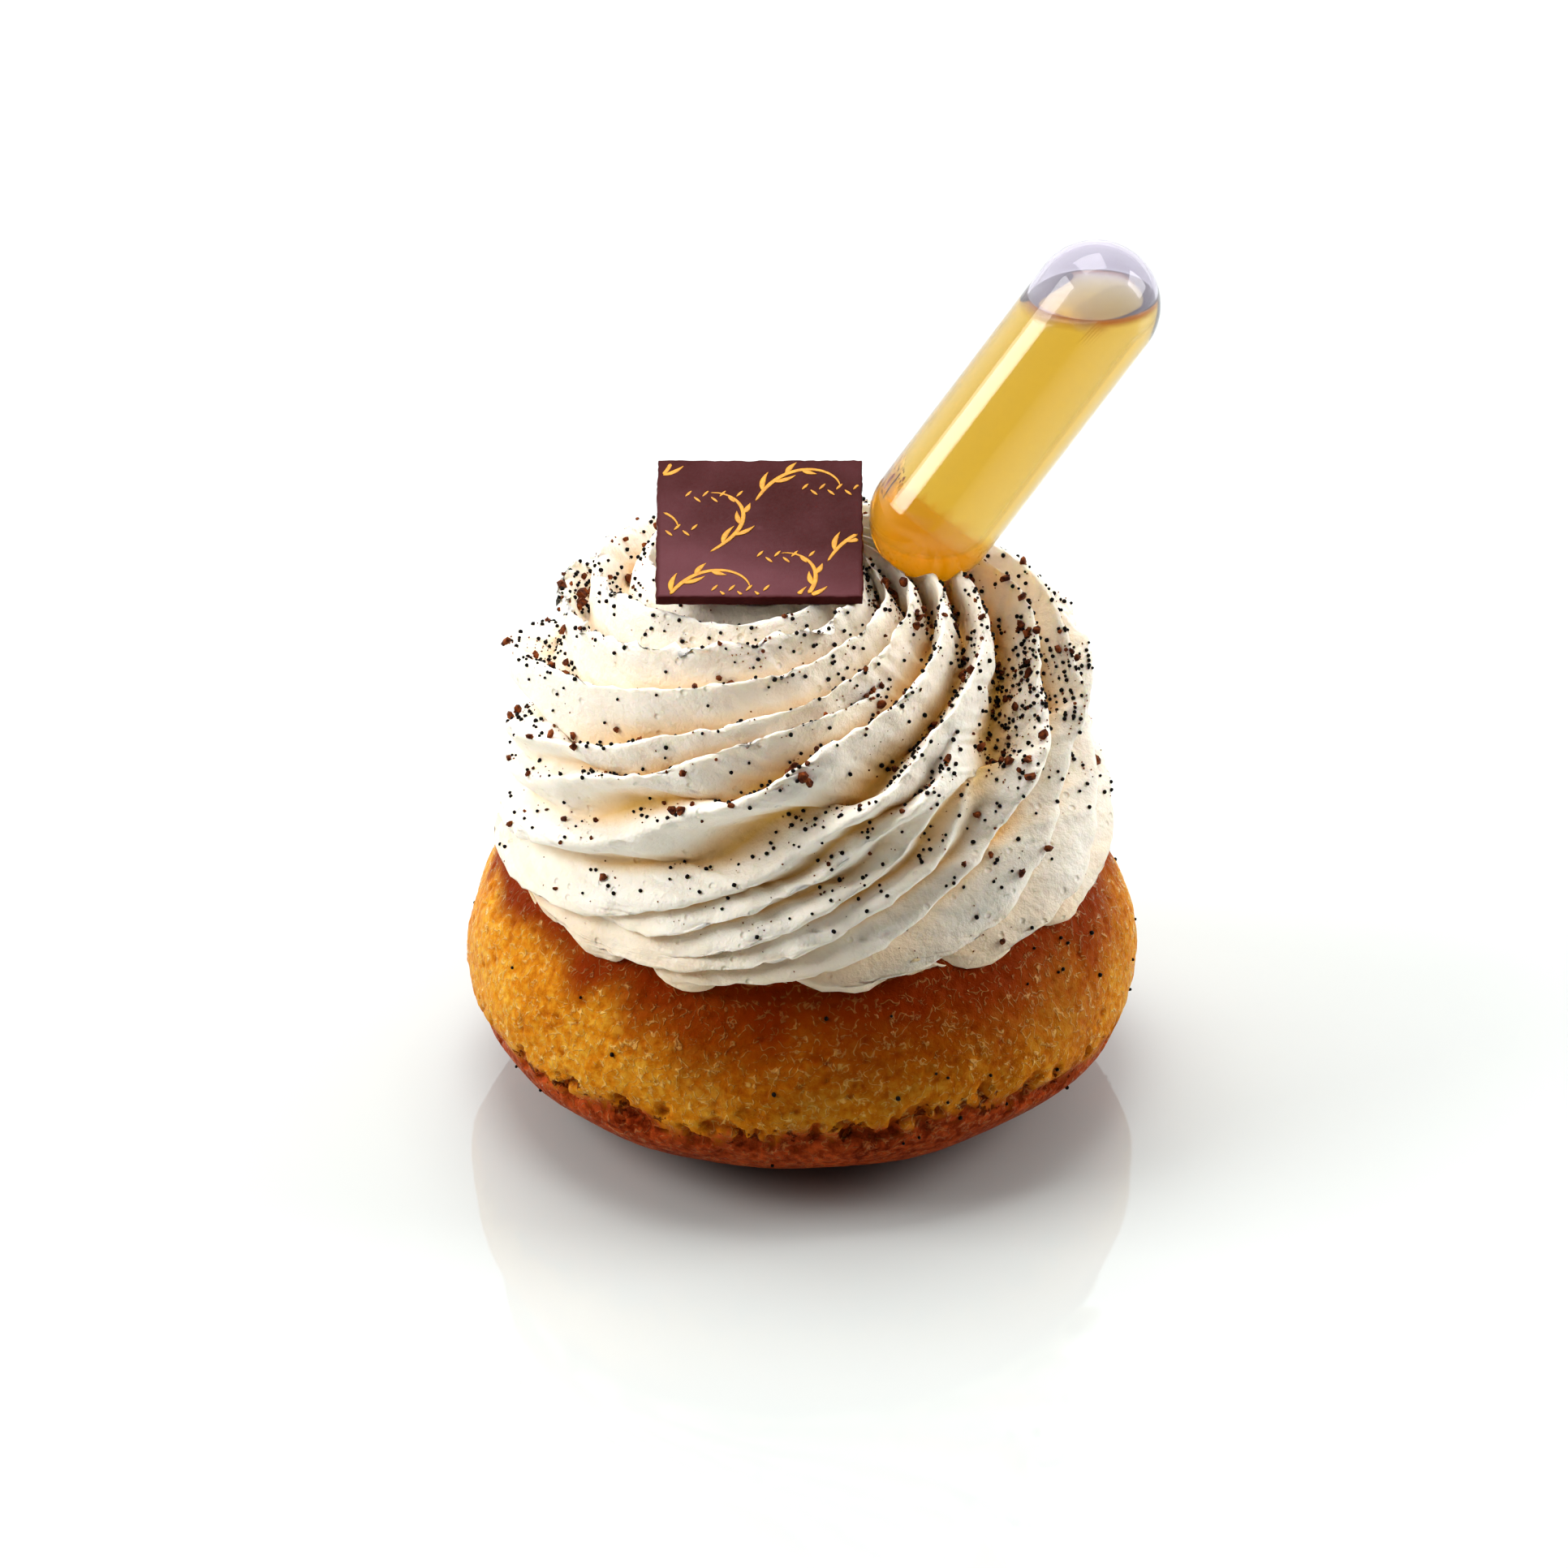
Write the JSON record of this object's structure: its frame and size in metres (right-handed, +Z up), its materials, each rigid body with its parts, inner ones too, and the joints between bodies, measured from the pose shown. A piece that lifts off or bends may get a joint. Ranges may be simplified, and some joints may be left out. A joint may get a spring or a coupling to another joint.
{
  "type": "rum baba",
  "caption": "Soaked round baba cake with a piped cream swirl, chocolate crumbs, a chocolate plaque and a clear pipette of rum leaning from its top.",
  "frame": {"origin": "middle of the cake's flat foot", "axes": "+Z up, -Y towards the front where the plaque's lower edge faces, +X towards the side that the pipette leans to"},
  "size_m": [0.0778, 0.0765, 0.0997],
  "materials": {
    "cake": "golden crumb soaked in syrup, darker shining crust",
    "cream": "whipped cream, off-white, dusted with chocolate crumbs and vanilla seeds",
    "plaque": "dark chocolate with gold print",
    "pipette": "thin clear plastic",
    "rum": "clear golden drink"
  },
  "bodies": {
    "root": {"cake": "cake", "cream_swirl": "cream", "plaque": "plaque", "pipette": "pipette", "rum": "rum"}
  },
  "joints": []
}
